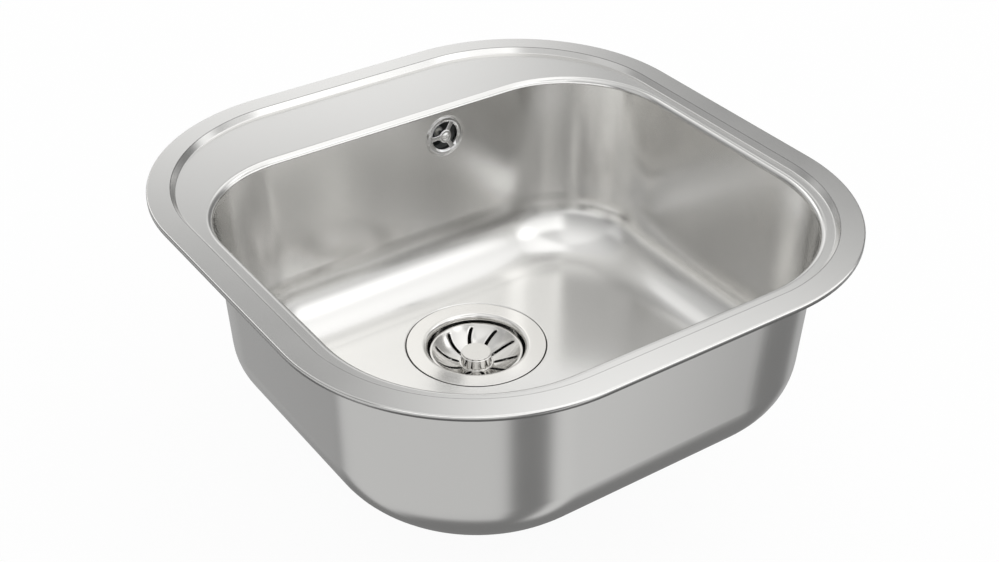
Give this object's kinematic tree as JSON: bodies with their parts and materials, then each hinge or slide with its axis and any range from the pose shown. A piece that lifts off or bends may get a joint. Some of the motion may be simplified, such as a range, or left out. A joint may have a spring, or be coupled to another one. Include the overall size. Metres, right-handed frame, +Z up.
{
  "type": "inset kitchen sink",
  "caption": "Inset stainless kitchen sink with a rounded bowl, a wide back ledge, a lift-out basket strainer in its waste and an overflow hose behind the bowl.",
  "frame": {"origin": "middle of the rim's outline, on the worktop's surface where the lip and the rim seal rest", "axes": "+X to the right along the front edge, +Y to the back ledge, +Z up out of the worktop"},
  "size_m": [0.465, 0.48, 0.268],
  "materials": {
    "satin_steel": "satin, fine grain",
    "polished_steel": "polished",
    "raw_steel": "dull",
    "chrome_trim": "bright",
    "stainless_screw": "turned",
    "brass_insert": "turned",
    "black_plastic": "fine moulded texture",
    "grey_plastic": "fine moulded texture",
    "hose_plastic": "smooth",
    "black_rubber": "smooth",
    "seal_foam": "soft foam",
    "pad_felt": "dull"
  },
  "bodies": {
    "sink": {"sink_pressing": "satin_steel", "rim_seal": "seal_foam", "clip_brackets": "raw_steel", "sound_pad": "pad_felt", "waste_flange": "polished_steel", "flange_gasket": "black_rubber", "lower_gasket": "black_rubber", "waste_body": "black_plastic", "body_insert": "brass_insert", "centre_screw": "stainless_screw", "overflow_rosette": "chrome_trim", "overflow_screw": "stainless_screw", "overflow_gasket": "black_rubber", "overflow_elbow": "grey_plastic", "elbow_insert": "brass_insert", "overflow_hose": "hose_plastic", "upper_hose_nut": "grey_plastic", "lower_hose_nut": "black_plastic", "upper_hose_washer": "black_rubber", "lower_hose_washer": "black_rubber"},
    "stopper": {"basket_stem": "stainless_screw", "stopper_disc": "black_plastic", "stopper_seal": "black_rubber", "stem_clip": "raw_steel", "stem_ring": "black_rubber"},
    "basket": {"basket_pan": "polished_steel", "basket_knob": "polished_steel"}
  },
  "joints": [
    {"name": "basket_lift", "type": "slide", "parent": "sink", "child": "stopper", "axis": [0, 0, 1], "range_m": [0, 0.23]},
    {"name": "basket_turn", "type": "hinge", "parent": "stopper", "child": "basket", "pos_m": [0, 0.032, -0.17], "axis": [0, 0, 1], "continuous": true}
  ]
}
